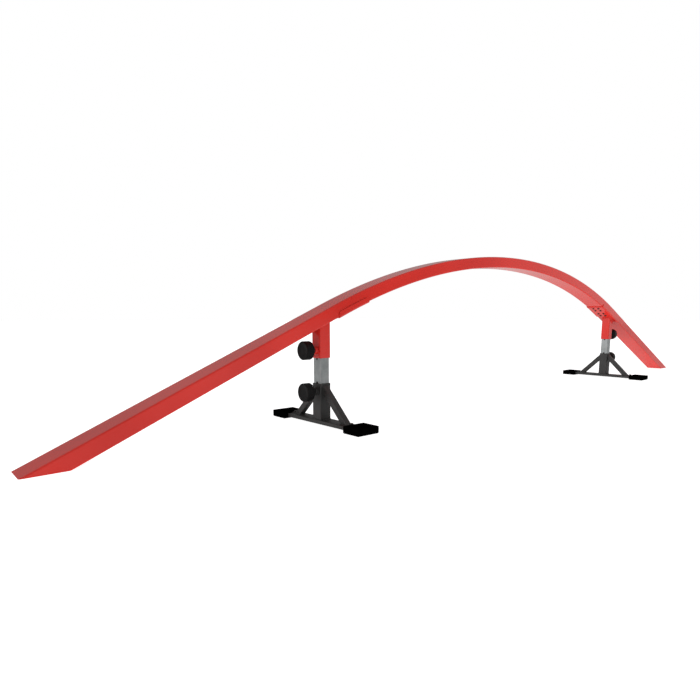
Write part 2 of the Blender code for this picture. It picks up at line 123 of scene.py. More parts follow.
class Finish(Graph):  # a material; constants go straight on the shader's sockets
    def __init__(self, name, constants):
        self.material = bpy.data.materials.new(name)
        self.material.use_nodes = True
        super().__init__(self.material.node_tree)
        self.shader = self.tree.nodes["Principled BSDF"]
        for key, value in constants.items():
            self.shader.inputs[key].default_value = value

    def surface(self, stretch=(1, 1, 1)):
        place = self.node("ShaderNodeTexCoord", output="Object")
        return self.node("ShaderNodeMapping", values={"Vector": place, "Scale": stretch})

    def noise(self, size, detail=3.0, stretch=(1, 1, 1)):  # size of one blotch, in metres
        values = {"Vector": self.surface(stretch), "Scale": 1 / size, "Detail": detail}
        return self.node("ShaderNodeTexNoise", values=values)

    def cells(self, size):
        values = {"Vector": self.surface(), "Scale": 1 / size}
        return self.node("ShaderNodeTexVoronoi", values=values)

    def blend(self, share, first, second):
        values = {0: share, 6: first, 7: second}
        return self.node("ShaderNodeMix", {"data_type": "RGBA"}, values, output=2)

    def bump(self, height, depth, under=None):  # depth in metres
        values = {"Height": height, "Distance": depth, "Strength": 1.0}
        if under:
            values["Normal"] = under
        return self.node("ShaderNodeBump", values=values)

    def feed(self, **wires):
        for key, wire in wires.items():
            self.tree.links.new(wire.socket, self.shader.inputs[key.replace("_", " ")])
        return self.material


class Recipe(Graph):  # a geometry tree with named inputs
    def __init__(self, name, inputs):
        super().__init__(bpy.data.node_groups.new(name, "GeometryNodeTree"))
        self.ids = {}
        kinds = {"Material": "NodeSocketMaterial", "Geometry": "NodeSocketGeometry"}
        for label in inputs:
            kind = kinds.get(label, "NodeSocketFloat")
            if label.endswith("Count") or label == "Seed":
                kind = "NodeSocketInt"
            if label.endswith("Shape"):
                kind = "NodeSocketObject"
            socket = self.tree.interface.new_socket(label, in_out="INPUT", socket_type=kind)
            self.ids[label] = socket.identifier
        self.tree.interface.new_socket("Geometry", in_out="OUTPUT", socket_type=kinds["Geometry"])
        self.given = self.tree.nodes.new("NodeGroupInput")

    def get(self, label):
        return Wire(self, self.given.outputs[label])

    def finish(self, geometry):
        real = self.node("GeometryNodeRealizeInstances", values={"Geometry": geometry})
        painted = self.node("GeometryNodeSetMaterial",
                            values={"Geometry": real, "Material": self.get("Material")})
        result = self.tree.nodes.new("NodeGroupOutput")
        self.tree.links.new(painted.socket, result.inputs["Geometry"])

    def shape(self, label):
        return self.node("GeometryNodeObjectInfo", values={"Object": self.get(label)},
                         output="Geometry")

    def moved(self, geometry, offset):
        return self.node("GeometryNodeSetPosition", values={"Geometry": geometry, "Offset": offset})

    def grow(self, name, values, start=None):  # the result as a plain mesh
        holder = bpy.data.objects.new(name, start or bpy.data.meshes.new(name))
        sceneObjects.link(holder)
        modifier = holder.modifiers.new(self.tree.name, "NODES")
        modifier.node_group = self.tree
        for label, value in values.items():
            modifier[self.ids[label]] = value
        graph = bpy.context.evaluated_depsgraph_get()
        mesh = bpy.data.meshes.new_from_object(holder.evaluated_get(graph))
        bpy.data.objects.remove(holder)
        return mesh


# Mesh tools


def toMesh(work, name):
    mesh = bpy.data.meshes.new(name)
    work.to_mesh(mesh)
    work.free()
    return mesh


def outline(width, depth, corner, steps=6, hold=0.0004):
    # round corners; a point just outside each arc keeps the flats flat in smooth shading
    points = []
    for quarter in range(4):
        middleX = (width / 2 - corner) * (1, -1, -1, 1)[quarter]
        middleY = (depth / 2 - corner) * (1, 1, -1, -1)[quarter]
        for step in range(-1, steps + 2):
            turn = math.pi / 2 * (quarter + min(max(step, 0), steps) / steps)
            slide = hold * ((step > steps) - (step < 0))
            points.append((middleX + corner * math.cos(turn) - slide * math.sin(turn),
                           middleY + corner * math.sin(turn) + slide * math.cos(turn)))
    return points


def skin(name, rings, joined=False):
    # rings of equal counts; joined closes the last ring onto the first, else both ends are capped
    work = bmesh.new()
    loops = [[work.verts.new(point) for point in ring] for ring in rings]
    pairs = list(zip(loops, loops[1:])) + ([(loops[-1], loops[0])] if joined else [])
    for low, high in pairs:
        for index in range(len(low)):
            after = (index + 1) % len(low)
            work.faces.new((low[index], low[after], high[after], high[index]))
    if not joined:
        work.faces.new(loops[0])
        work.faces.new(loops[-1])
    bmesh.ops.recalc_face_normals(work, faces=work.faces)
    return toMesh(work, name)


def turnsOf(steps):
    return [2 * math.pi * step / steps for step in range(steps)]


def lathe(name, profile, steps, joined=False):
    # profile of radius and height; a radius of 0 closes the end
    work = bmesh.new()
    loops = []
    for radius, height in profile:
        count = steps if radius else 1
        loops.append([work.verts.new((radius * math.cos(turn), radius * math.sin(turn), height))
                      for turn in turnsOf(steps)[:count]])
    for low, high in list(zip(loops, loops[1:])) + ([(loops[-1], loops[0])] if joined else []):
        for index in range(steps):
            after = (index + 1) % steps
            corners = [low[index % len(low)], low[after % len(low)],
                       high[after % len(high)], high[index % len(high)]]
            work.faces.new(list(dict.fromkeys(corners)))
    bmesh.ops.recalc_face_normals(work, faces=work.faces)
    return toMesh(work, name)


def rod(radius, length, steps, placing):
    work = bmesh.new()
    bmesh.ops.create_cone(work, cap_ends=True, segments=steps, radius1=radius, radius2=radius,
                          depth=length)
    bmesh.ops.transform(work, matrix=placing, verts=work.verts)
    return toMesh(work, "rod")


def block(low, high, edge=0.0, steps=3):
    work = bmesh.new()
    bmesh.ops.create_cube(work, size=1.0)
    bmesh.ops.scale(work, vec=Vector(high) - Vector(low), verts=work.verts)
    bmesh.ops.translate(work, vec=(Vector(high) + Vector(low)) / 2, verts=work.verts)
    if edge:
        bmesh.ops.bevel(work, geom=work.edges[:], offset=edge, segments=steps, profile=0.5,
                        affect="EDGES")
    return toMesh(work, "block")


def merged(name, meshes):
    work = bmesh.new()
    for mesh in meshes:
        work.from_mesh(mesh)
        bpy.data.meshes.remove(mesh)
    return toMesh(work, name)


def carved(mesh, cutter, operation="DIFFERENCE"):
    body = bpy.data.objects.new(mesh.name, mesh)
    tool = bpy.data.objects.new("tool", cutter)
    for thing in (body, tool):
        sceneObjects.link(thing)
    boolean = body.modifiers.new("carve", "BOOLEAN")
    boolean.operation = operation
    boolean.solver = "EXACT"
    boolean.object = tool
    graph = bpy.context.evaluated_depsgraph_get()
    result = bpy.data.meshes.new_from_object(body.evaluated_get(graph))
    result.name = mesh.name
    bpy.data.objects.remove(body)
    bpy.data.objects.remove(tool)
    return result


def hiddenShape(name, mesh):  # what a geometry tree repeats or sweeps, removed at the end
    thing = bpy.data.objects.new(name, mesh)
    sceneObjects.link(thing)
    thing.hide_render = True
    return thing


def addPiece(name, mesh, finish, body, stands, angle=35, placing=None):
    # stands lists the frame nodes that the piece takes the place of
    if placing:
        mesh.transform(placing)
    mesh.name = name
    mesh.materials.clear()
    mesh.materials.append(finish)
    mesh.shade_smooth()
    mesh.set_sharp_from_angle(angle=math.radians(angle))
    piece = bpy.data.objects.new(name, mesh)
    sceneObjects.link(piece)
    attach(piece, body)
    if stands:
        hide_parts(*stands)
    return piece


# Finishes

redPaintLook = {
    "colour": (0.62, 0.027, 0.019, 1), "deep": (0.55, 0.022, 0.015, 1),
    "dust": (0.75, 0.35, 0.33, 1), "scratch": (0.70, 0.20, 0.18, 1), "roughness": 0.10,
    "cloudSize": 0.35, "dustSize": 0.0009, "orangePeel": 0.0022, "peelDepth": 0.000006,
    "scratchLength": 0.30, "scratchWidth": 0.0012, "scratchDepth": 0.000008}


def makeRedPaint(look):
    paint = Finish("glossRedPaint", {"IOR": 1.5, "Specular IOR Level": 0.40})
    cloud = paint.noise(look["cloudSize"], 2.0)
    dust = paint.step(paint.noise(look["dustSize"], 2.0), 0.60, 0.72)
    lengthwise = (look["scratchWidth"] / look["scratchLength"], 1, 1)
    scratch = paint.step(paint.noise(look["scratchWidth"], 2.0, lengthwise), 0.66, 0.74)
    colour = paint.blend(paint.step(cloud, 0.35, 0.65), look["colour"], look["deep"])
    colour = paint.blend(dust * 0.05, colour, look["dust"])
    colour = paint.blend(scratch * 0.06, colour, look["scratch"])
    peel = paint.bump(paint.noise(look["orangePeel"], 2.0), look["peelDepth"])
    normal = paint.bump(scratch * -1.0, look["scratchDepth"], peel)
    roughness = look["roughness"] + cloud * 0.04 + dust * 0.10 + scratch * 0.15
    return paint.feed(Base_Color=colour, Roughness=roughness, Normal=normal)


zincLook = {
    "bright": (0.37, 0.39, 0.39, 1), "dull": (0.29, 0.31, 0.31, 1),
    "brushed": (0.20, 0.21, 0.22, 1), "spangle": (0.44, 0.46, 0.46, 1), "roughness": 0.26,
    "brushWidth": 0.0006, "brushDepth": 0.000012, "bloomSize": 0.018, "spangleSize": 0.004}


def makeZinc(look):
    zinc = Finish("brightZinc", {"Metallic": 1.0, "IOR": 1.6})
    brushed = zinc.noise(look["brushWidth"], 3.0, (1, 1, 0.02))
    bloom = zinc.noise(look["bloomSize"], 4.0)
    spangle = zinc.cells(look["spangleSize"])
    colour = zinc.blend(zinc.step(bloom, 0.35, 0.70), look["bright"], look["dull"])
    colour = zinc.blend(zinc.step(brushed, 0.45, 0.75) * 0.35, colour, look["brushed"])
    colour = zinc.blend(zinc.step(spangle, 0.1, 0.6) * 0.10, colour, look["spangle"])
    roughness = look["roughness"] + brushed * 0.12 + bloom * 0.08
    return zinc.feed(Base_Color=colour, Roughness=roughness,
                     Normal=zinc.bump(brushed, look["brushDepth"]))


powderLook = {
    "dark": (0.014, 0.014, 0.0135, 1), "light": (0.022, 0.022, 0.021, 1),
    "grit": (0.062, 0.062, 0.060, 1), "roughness": 0.40, "gritSize": 0.0011, "pitSize": 0.0016,
    "gritDepth": 0.00005, "cloudSize": 0.05}


def makePowderCoat(look):
    coat = Finish("blackPowderCoat", {"IOR": 1.5, "Specular IOR Level": 0.5})
    grit = coat.noise(look["gritSize"], 4.0)
    cloud = coat.noise(look["cloudSize"], 3.0)
    pits = coat.step(coat.cells(look["pitSize"]), 0.05, 0.30)
    colour = coat.blend(coat.step(cloud, 0.3, 0.7), look["dark"], look["light"])
    colour = coat.blend(coat.step(grit, 0.62, 0.78) * 0.4, colour, look["grit"])
    roughness = look["roughness"] + grit * 0.18 + cloud * 0.05
    return coat.feed(Base_Color=colour, Roughness=roughness,
                     Normal=coat.bump(grit * 0.6 + pits * 0.4, look["gritDepth"]))


plasticLook = {"dark": (0.003, 0.003, 0.003, 1), "light": (0.006, 0.006, 0.006, 1),
               "roughness": 0.38, "grainSize": 0.0008, "grainDepth": 0.00004, "cloudSize": 0.02}


def makeKnobPlastic(look):
    plastic = Finish("knobPlastic", {"IOR": 1.48, "Specular IOR Level": 0.12})
    grain = plastic.cells(look["grainSize"])
    cloud = plastic.noise(look["cloudSize"], 3.0)
    colour = plastic.blend(plastic.step(cloud, 0.3, 0.7), look["dark"], look["light"])
    return plastic.feed(Base_Color=colour, Roughness=look["roughness"] + cloud * 0.12,
                        Normal=plastic.bump(grain, look["grainDepth"]))


rubberLook = {"dark": (0.0006, 0.0006, 0.0006, 1), "bloom": (0.0016, 0.0016, 0.0015, 1),
              "roughness": 0.80, "grainSize": 0.0007, "grainDepth": 0.00006, "bloomSize": 0.03}


def makeRubber(look):
    rubber = Finish("footRubber", {"IOR": 1.45, "Specular IOR Level": 0.0})
    grain = rubber.noise(look["grainSize"], 5.0)
    bloom = rubber.noise(look["bloomSize"], 4.0)
    colour = rubber.blend(rubber.step(bloom, 0.45, 0.75), look["dark"], look["bloom"])
    return rubber.feed(Base_Color=colour, Roughness=look["roughness"] + grain * 0.15,
                       Normal=rubber.bump(grain, look["grainDepth"]))


oxideLook = {"dark": (0.022, 0.021, 0.021, 1), "light": (0.045, 0.042, 0.040, 1),
             "streak": (0.10, 0.095, 0.09, 1), "roughness": 0.34, "streakSize": 0.0009,
             "streakDepth": 0.00002, "bloomSize": 0.006}


def makeBlackOxide(look):
    oxide = Finish("blackOxide", {"Metallic": 0.6, "IOR": 1.6})
    streak = oxide.noise(look["streakSize"], 4.0)
    bloom = oxide.noise(look["bloomSize"], 2.0)
    colour = oxide.blend(oxide.step(bloom, 0.3, 0.7), look["dark"], look["light"])
    colour = oxide.blend(oxide.step(streak, 0.6, 0.8) * 0.4, colour, look["streak"])
    return oxide.feed(Base_Color=colour, Roughness=look["roughness"] + streak * 0.2,
                      Normal=oxide.bump(streak, look["streakDepth"]))


redPaint = makeRedPaint(redPaintLook)
zincSteel = makeZinc(zincLook)
powderCoat = makePowderCoat(powderLook)
knobPlastic = makeKnobPlastic(plasticLook)
footRubber = makeRubber(rubberLook)
blackOxide = makeBlackOxide(oxideLook)
print("finishes made")

# Rail: three lengths of rectangular tube along one path

rail = {"rampRun": 0.8821, "rampAngle": math.radians(23.3), "archRadius": 2.4975, "width": 0.084,
        "depth": 0.042, "wall": 0.003, "corner": 0.004, "spliceInset": 0.063, "seamGap": 0.0003,
        "overrun": 0.09, "station": 0.010}
slope = math.tan(rail["rampAngle"])
halfLength = rail["archRadius"] * math.sin(rail["rampAngle"]) + rail["rampRun"]
middleRadius = rail["archRadius"] - rail["depth"] / 2
centreHeight = rail["rampRun"] * slope - rail["archRadius"] * math.cos(rail["rampAngle"])
pathSizes = {"Path Radius": middleRadius, "Half Arch": middleRadius * rail["rampAngle"],
             "Centre Height": centreHeight}
seam = pathSizes["Half Arch"] - rail["spliceInset"]
rampLength = rail["rampRun"] / math.cos(rail["rampAngle"])
tip = pathSizes["Half Arch"] + rampLength + rail["overrun"]  # past the ground, where it is cut


def alongPath(recipe, run, offset=0.0):
    # place and tilt at a run along the rail from its top; offset is upwards from the tube's middle
    onArch = recipe.maths("MINIMUM", recipe.maths("ABSOLUTE", run), recipe.get("Half Arch"))
    straight = recipe.maths("ABSOLUTE", run) - onArch
    angle = onArch / recipe.get("Path Radius")
    radius = recipe.get("Path Radius") + offset
    sine = recipe.maths("SINE", angle)
    cosine = recipe.maths("COSINE", angle)
    side = recipe.maths("SIGN", run)
    x = (radius * sine + straight * cosine) * side
    z = recipe.get("Centre Height") + radius * cosine - straight * sine
    return x, z, angle * side


def railPlace(run, offset=0.0):  # the same rule for a single point
    onArch = min(abs(run), pathSizes["Half Arch"])
    angle = onArch / middleRadius
    straight = abs(run) - onArch
    radius = middleRadius + offset
    x = radius * math.sin(angle) + straight * math.cos(angle)
    z = pathSizes["Centre Height"] + radius * math.cos(angle) - straight * math.sin(angle)
    return Vector((math.copysign(x, run), 0.0, z))


def sweepRecipe():
    recipe = Recipe("tubeAlongPath", ["From", "To", "Station Count", *pathSizes, "Outer Shape",
                                      "Inner Shape", "Material"])
    line = recipe.node("GeometryNodeCurvePrimitiveLine")
    line = recipe.node("GeometryNodeResampleCurve",
                       values={"Curve": line, "Count": recipe.get("Station Count")})
    share = recipe.node("GeometryNodeSplineParameter")
    run = recipe.get("From") + share * (recipe.get("To") - recipe.get("From"))
    x, z, angle = alongPath(recipe, run)
    path = recipe.node("GeometryNodeSetPosition",
                       values={"Geometry": line, "Position": recipe.place(x, 0.0, z)})
    path = recipe.node("GeometryNodeSetCurveNormal", {"mode": "Z_UP"}, {"Curve": path})
    swept = []
    for label in ("Outer Shape", "Inner Shape"):
        shape = recipe.node("GeometryNodeMeshToCurve", values={"Mesh": recipe.shape(label)})
        swept.append(recipe.node("GeometryNodeCurveToMesh",
                                 values={"Curve": path, "Profile Curve": shape}))
    swept[1] = recipe.node("GeometryNodeFlipFaces", values={"Mesh": swept[1]})
    joined = recipe.tree.nodes.new("GeometryNodeJoinGeometry")
    for piece in swept:
        recipe.tree.links.new(piece.socket, joined.inputs["Geometry"])
    # what would pass below the ground slides back up the ramp to it, which cuts the end level
    x, y, z = recipe.parts(recipe.node("GeometryNodeInputPosition"))
    below = recipe.maths("MINIMUM", z, 0.0)
    back = recipe.place(recipe.maths("SIGN", x) * below / slope, 0.0, below * -1.0)
    cut = recipe.moved(Wire(recipe, joined.outputs[0]), back)
    recipe.finish(recipe.node("GeometryNodeMergeByDistance",
                              values={"Geometry": cut, "Distance": 0.00002}))
    return recipe


def sectionShape(name, points):
    # a closed outline for the sweep: first axis across the rail, second axis down
    mesh = bpy.data.meshes.new(name)
    edges = [(index, (index + 1) % len(points)) for index in range(len(points))]
    mesh.from_pydata([(x, y, 0.0) for x, y in points], edges, [])
    return hiddenShape(name, mesh)


def bridged(mesh, splitX):
    # closes the ring between the outer and the inner skin at each end
    work = bmesh.new()
    work.from_mesh(mesh)
    for sign in (-1, 1):
        rim = [edge for edge in work.edges if edge.is_boundary
               and sign * (edge.verts[0].co.x + edge.verts[1].co.x - 2 * splitX) > 0]
        bmesh.ops.bridge_loops(work, edges=rim)
    bmesh.ops.recalc_face_normals(work, faces=work.faces)
    return toMesh(work, mesh.name)


tubeSweep = sweepRecipe()
tubeShape = sectionShape("tubeShape", outline(rail["width"], rail["depth"], rail["corner"]))
boreShape = sectionShape("boreShape", outline(
    rail["width"] - 2 * rail["wall"], rail["depth"] - 2 * rail["wall"],
    rail["corner"] - rail["wall"], hold=0.0002))


def makeRail(name, start, end, stands):
    stations = round(abs(end - start) / rail["station"])
    values = {"From": start, "To": end, "Station Count": stations, **pathSizes,
              "Outer Shape": tubeShape, "Inner Shape": boreShape, "Material": redPaint}
    mesh = tubeSweep.grow(name, values)
    middle = sum((vertex.co.x for vertex in mesh.vertices)) / len(mesh.vertices)
    addPiece(name, bridged(mesh, middle), redPaint, "rail", stands)


halfGap = rail["seamGap"] / 2
makeRail("railArch", halfGap - seam, seam - halfGap, ["arch_rail"])
for side, sign in sides.items():
    makeRail(f"railRamp_{side}", sign * (seam + halfGap), sign * tip, [f"ramp_rail_{side}"])
print("rail made")

# Splices: a folded channel under each seam, held by button-head screws

splice = {"length": 0.135, "wall": 0.003, "rise": 0.016, "bend": 0.003, "trim": 0.007,
          "rowFromSeam": 0.022, "rowSpacing": 0.028, "halfSpread": 0.0135, "station": 0.006,
          "headRadius": 0.0055, "headHeight": 0.0033, "shankRadius": 0.003, "reach": 0.0125,
          "socket": 0.0023, "socketDepth": 0.0018}


def channelOutline(sizes, steps=5, lip=0.0005):
    # a U whose legs point up, with rounded folds and lips
    low = rail["depth"] / 2 + gap
    top = rail["depth"] / 2 - sizes["rise"]
    half = rail["width"] / 2 + gap
    points = []
    for outer, side in ((True, 1), (True, -1), (False, -1), (False, 1)):
        thick = sizes["wall"] if outer else 0.0
        bend = sizes["bend"] + thick
        face = half + thick
        course = [(side * (face - (lip if outer else -lip)), top), (side * face, top + lip),
                  (side * face, low + thick - bend - lip)]
        for step in range(steps + 1):
            turn = math.pi / 2 * step / steps
            course.append((side * (face - bend + bend * math.cos(turn)),
                           low + thick - bend + bend * math.sin(turn)))
        points += course if outer == (side > 0) else course[::-1]
    return points


def spliceScrew(sizes, rim=0.0004):
    head, shank, height = sizes["headRadius"], sizes["shankRadius"], sizes["headHeight"]
    profile = [(0.0, height)]
    for step in range(6):
        turn = math.pi / 2 * step / 5
        profile.append((head * (0.5 + 0.5 * math.sin(turn)), height * math.cos(turn) + rim))
    profile += [(head, 0.0), (shank, 0.0), (shank, -sizes["reach"]), (0.0, -sizes["reach"])]
    depth = sizes["socketDepth"]
    socket = rod(sizes["socket"], 0.004, 6, Matrix.Translation((0, 0, height - depth + 0.002)))
    return carved(lathe("spliceScrew", profile, 24), socket)


def screwRecipe():
    recipe = Recipe("screwsAlongPath", ["Seam", "Row From Seam", "Row Spacing", "Half Spread",
                                        "Below", *pathSizes, "Screw Shape", "Seed", "Material"])
    points = recipe.node("GeometryNodePoints", values={"Count": 8})
    index = recipe.node("GeometryNodeInputIndex")
    across = recipe.maths("MODULO", index, 2.0) * 2.0 - 1.0
    step = recipe.maths("MODULO", recipe.maths("FLOOR", index / 2.0), 2.0)
    row = recipe.maths("FLOOR", index / 4.0) * 2.0 - 1.0
    fromSeam = recipe.get("Row From Seam") + step * recipe.get("Row Spacing")
    run = recipe.get("Seam") + row * fromSeam
    x, z, angle = alongPath(recipe, run, recipe.get("Below") * -1.0)
    place = recipe.place(x, across * recipe.get("Half Spread"), z)
    points = recipe.node("GeometryNodeSetPosition", values={"Geometry": points, "Position": place})
    down = recipe.node("FunctionNodeEulerToRotation",
                       values={"Euler": recipe.place(0.0, angle + math.pi, 0.0)})
    turn = recipe.node("FunctionNodeRandomValue", {"data_type": "FLOAT"},
                       {"Max": math.pi, "Seed": recipe.get("Seed")}, output=1)
    spin = recipe.node("FunctionNodeEulerToRotation",
                       values={"Euler": recipe.place(0.0, 0.0, turn)})
    rotation = recipe.node("FunctionNodeRotateRotation", {"rotation_space": "LOCAL"},
                           {"Rotation": down, "Rotate By": spin})
    recipe.finish(recipe.node("GeometryNodeInstanceOnPoints", values={
        "Points": points, "Instance": recipe.shape("Screw Shape"), "Rotation": rotation}))
    return recipe


def makeChannel(side, sign):
    middle = sign * seam
    values = {"From": middle - splice["length"] / 2, "To": middle + splice["length"] / 2,
              "Station Count": round(splice["length"] / splice["station"]), **pathSizes,
              "Outer Shape": channelShape, "Inner Shape": noShape, "Material": redPaint}
    mesh = tubeSweep.grow("spliceChannel", values)
    work = bmesh.new()
    work.from_mesh(mesh)
    bmesh.ops.holes_fill(work, edges=[edge for edge in work.edges if edge.is_boundary])  # its ends
    bmesh.ops.recalc_face_normals(work, faces=work.faces)
    mesh = toMesh(work, "spliceChannel")
    # the legs' corners are cut off at 45 degrees
    top = splice["rise"] - rail["depth"] / 2
    cutters = []
    for direction in (-1, 1):
        run = middle + direction * splice["length"] / 2
        angle = math.copysign(min(abs(run), pathSizes["Half Arch"]) / middleRadius, run)
        corner = railPlace(run, top)
        cut = block((-0.012, -rail["width"], 0), (0.012, rail["width"], 0.024))
        tilt = Matrix.Rotation(angle + direction * math.pi / 4, 4, "Y")
        cut.transform(Matrix.Translation(corner) @ tilt
                      @ Matrix.Translation((0, 0, -splice["trim"] / math.sqrt(2))))
        cutters.append(cut)
    mesh = carved(mesh, merged("trims", cutters))
    addPiece(f"spliceChannel_{side}", mesh, redPaint, "rail",
             [f"splice_channel_{side}"], angle=28)


channelShape = sectionShape("channelShape", channelOutline(splice))
noShape = sectionShape("noShape", [])  # the channel has no bore
screwShape = hiddenShape("screwShape", spliceScrew(splice))
screwRow = screwRecipe()
for side, sign in sides.items():
    makeChannel(side, sign)
    screws = screwRow.grow("spliceScrews", {
        "Seam": sign * seam, "Row From Seam": splice["rowFromSeam"],
        "Row Spacing": splice["rowSpacing"], "Half Spread": splice["halfSpread"],
        "Below": rail["depth"] / 2 + splice["wall"] + 2 * gap, **pathSizes,
        "Screw Shape": screwShape, "Seed": 3, "Material": blackOxide})
    addPiece(f"spliceScrews_{side}", screws, blackOxide, "rail",
             [f"splice_bolt_{side}_{number}" for number in range(1, 9)])
print("splices made")

# Legs: a sleeve welded under each ramp, a sliding post in it, and a base tube on the post

postLow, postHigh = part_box("leg_post_b")
baseLow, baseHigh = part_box("base_tube_b")
leg = {"middle": (postLow[0] + postHigh[0]) / 2, "postBottom": postLow[2], "postTop": postHigh[2],
       "baseBottom": baseLow[2], "baseTop": baseHigh[2],
       "sleeveBottom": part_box("leg_sleeve_b")[0][2], "tube": 0.042, "wall": 0.003,
       "corner": 0.004, "post": 0.035, "postWall": 0.0025, "postCorner": 0.002, "edge": 0.0006,
       "holeRadius": 0.0042, "holePitch": 0.0760, "knobFromEdge": 0.0250}


def underRail(x):  # height of the ramp's underside
    return (halfLength - abs(x)) * slope - rail["depth"] / math.cos(rail["rampAngle"])


def outward(sign, x, z):  # local Z points away from the leg
    return Matrix.Translation((sign * x, 0.0, z)) @ Matrix.Rotation(sign * math.pi / 2, 4, "Y")


def squareTube(name, size, wall, corner, middle, bottom, topAt):
    edge = leg["edge"]
    bore = size - 2 * wall
    boreCorner = max(corner - wall, 0.0008)
    outer = outline(size, size, corner)
    outerEdge = outline(size - 2 * edge, size - 2 * edge, corner - edge)
    inner = outline(bore, bore, boreCorner, hold=0.0002)
    innerEdge = outline(bore + 2 * edge, bore + 2 * edge, boreCorner + edge, hold=0.0002)
    course = [(outer, 0, edge), (outer, 1, -edge), (outerEdge, 1, 0), (innerEdge, 1, 0),
              (inner, 1, -edge), (inner, 0, edge), (innerEdge, 0, 0), (outerEdge, 0, 0)]
    rings = [[(middle + x, y, (topAt(middle + x) if atTop else bottom) + rise) for x, y in points]
             for points, atTop, rise in course]
    return skin(name, rings, joined=True)


def makeLeg(side, sign):
    middle = sign * leg["middle"]
    screwHeights = {"sleeve": leg["sleeveBottom"] + leg["knobFromEdge"],
                    "base": leg["baseTop"] - leg["knobFromEdge"]}
    tubes = (
        ("sleeve", f"legSleeve_{side}", leg["sleeveBottom"], lambda x: underRail(x) - gap,
         "rail", "red_paint", redPaint, f"leg_sleeve_{side}"),
        ("base", f"baseTube_{side}", leg["baseBottom"], lambda x: leg["baseTop"],
         f"base_{side}", "black_steel", powderCoat, f"base_tube_{side}"))
    for place, name, bottom, topAt, body, slot, finish, node in tubes:
        tube = squareTube(name, leg["tube"], leg["wall"], leg["corner"], middle, bottom, topAt)
        bore = rod(clamp["thread"] + clamp["play"], leg["tube"] / 2, 24,
                   outward(sign, leg["middle"] + leg["tube"] / 2, screwHeights[place]))
        addPiece(name, carved(tube, bore), finish, body, [node])

    size, wall = leg["post"], leg["postWall"]
    post = squareTube("legPost", size, wall, leg["postCorner"], middle, leg["postBottom"],
                      lambda x: leg["postTop"])
    centre = (leg["sleeveBottom"] + leg["baseTop"]) / 2
    holes = [rod(leg["holeRadius"], 2 * size, 28,
                 outward(sign, leg["middle"], centre + step * leg["holePitch"]))
             for step in (-1.5, -0.5, 0.5, 1.5)]
    post = addPiece(f"legPost_{side}", carved(post, merged("holes", holes)), zincSteel,
                    f"post_{side}", [f"leg_post_{side}"])
    post.data.materials.append(blackOxide)  # painted shade: the bore's faces take the dark black-oxide finish so the holes read dark
    for face in post.data.polygons:
        if max(abs(face.center.x - middle), abs(face.center.y)) < (size - wall) / 2:
            face.material_index = 1

    for place, height in screwHeights.items():
        makeClamp(place, side, sign, height)


# Clamps: a boss welded to the tube, and a screw moulded into a round knob

clamp = {"thread": 0.005, "play": 0.0004, "pitch": 0.0015, "threadDepth": 0.0008,
         "bossRadius": 0.012, "bossLength": 0.010, "bossEdge": 0.0008, "pastBoss": 0.018,
         "screwEdge": 0.0012, "knobRadius": 0.029, "hubRadius": 0.013, "head": 0.026,
         "taper": 0.0145, "rim": 0.0030, "dish": 0.002, "knobGap": 0.0015, "backEdge": 0.002,
         "ribCount": 30, "ribDepth": 0.0007, "ribFade": 0.003}


def roundRecipe(name, inputs, depthRule):
    # moves the skin of a turned blank towards its axis, by a depth from its angle and height
    recipe = Recipe(name, ["Geometry", *inputs, "Skin Radius", "Material"])
    x, y, z = recipe.parts(recipe.node("GeometryNodeInputPosition"))
    radius = recipe.maths("SQRT", x * x + y * y)
    depth = depthRule(recipe, recipe.maths("ARCTAN2", y, x), z)
    skinned = recipe.maths("GREATER_THAN", radius, recipe.get("Skin Radius"))
    pull = depth * skinned / radius * -1.0
    recipe.finish(recipe.moved(recipe.get("Geometry"), recipe.place(x * pull, y * pull, 0.0)))
    return recipe


def ribDepth(recipe, angle, z):
    wave = recipe.maths("COSINE", angle * recipe.get("Rib Count"))
    low, high, fade = (recipe.get(label) for label in ("From", "To", "Fade"))
    return (0.5 - wave * 0.5) * recipe.get("Rib Depth") * recipe.step(z, low, low + fade) \
        * recipe.step(z, high, high - fade)


def grooveDepth(recipe, angle, z):
    turns = z / recipe.get("Pitch") - angle / (2 * math.pi)
    groove = 1.0 - recipe.maths("ABSOLUTE", recipe.maths("FRACT", turns) * 2.0 - 1.0)
    return groove * recipe.get("Thread Depth")


